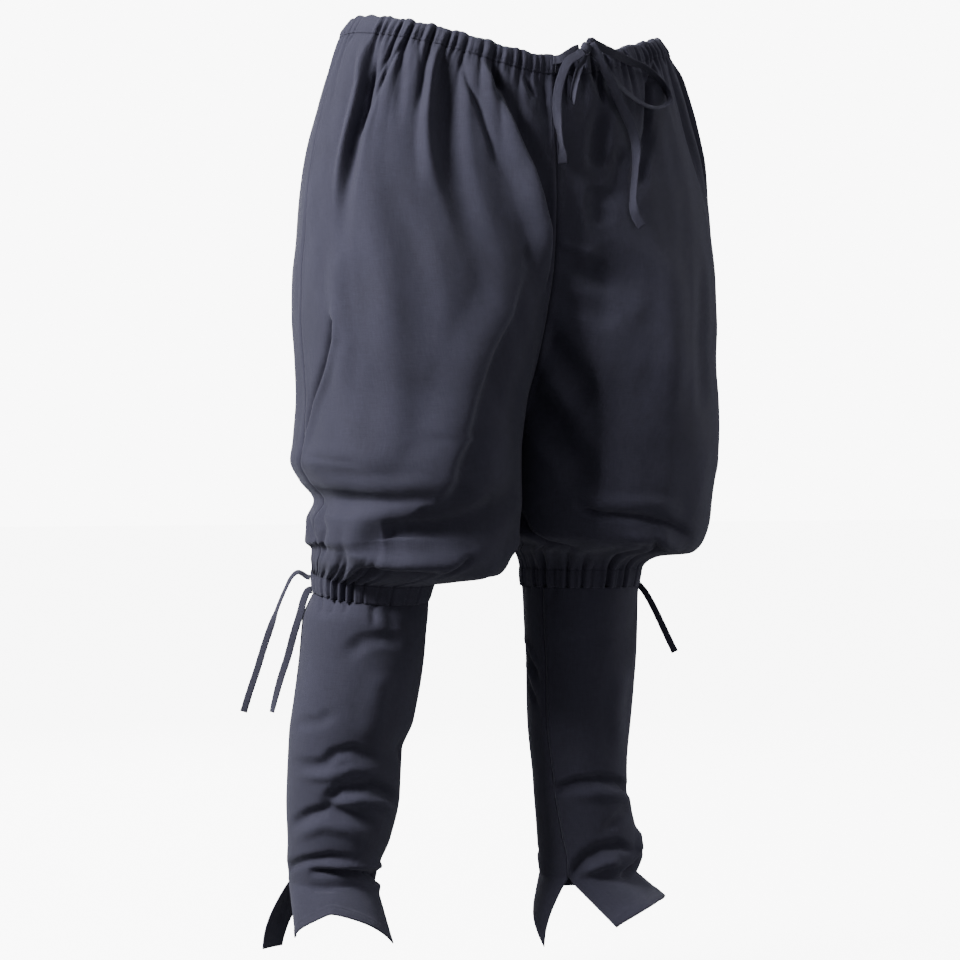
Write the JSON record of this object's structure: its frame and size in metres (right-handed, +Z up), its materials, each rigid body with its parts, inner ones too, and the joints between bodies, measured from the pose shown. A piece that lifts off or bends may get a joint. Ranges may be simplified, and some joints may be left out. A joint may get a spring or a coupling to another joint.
{
  "type": "medieval trousers",
  "caption": "Loose dark breeches with a gathered drawstring waist, drawn in below each knee by a tied casing, over close lower legs that open in vents at the ankles, hollow as worn",
  "frame": {"origin": "middle of the waist opening, level with the top of the waistband at the hips", "axes": "+Z up as worn, the front faces -Y, the wearer's left is +X"},
  "size_m": [0.5348, 0.2873, 1.0419],
  "materials": {
    "cloth": "matt plain-weave cotton, dark slate",
    "tape": "folded and stitched cotton tape of the same cloth"
  },
  "bodies": {
    "root": {"waist_casing": "cloth", "breeches_front_right": "cloth", "breeches_back_right": "cloth", "breeches_front_left": "cloth", "breeches_back_left": "cloth", "knee_casing_right": "cloth", "knee_casing_left": "cloth", "shin_front_right": "cloth", "shin_back_right": "cloth", "shin_front_left": "cloth", "shin_back_left": "cloth", "waist_tie_knot": "tape", "waist_tie_lead": "tape", "waist_tie_loop_long": "tape", "waist_tie_loop_short": "tape", "waist_tie_tail_long": "tape", "waist_tie_tail_short": "tape", "knee_tie_tail_long_right": "tape", "knee_tie_tail_short_right": "tape", "knee_tie_tail_left": "tape"}
  },
  "joints": []
}
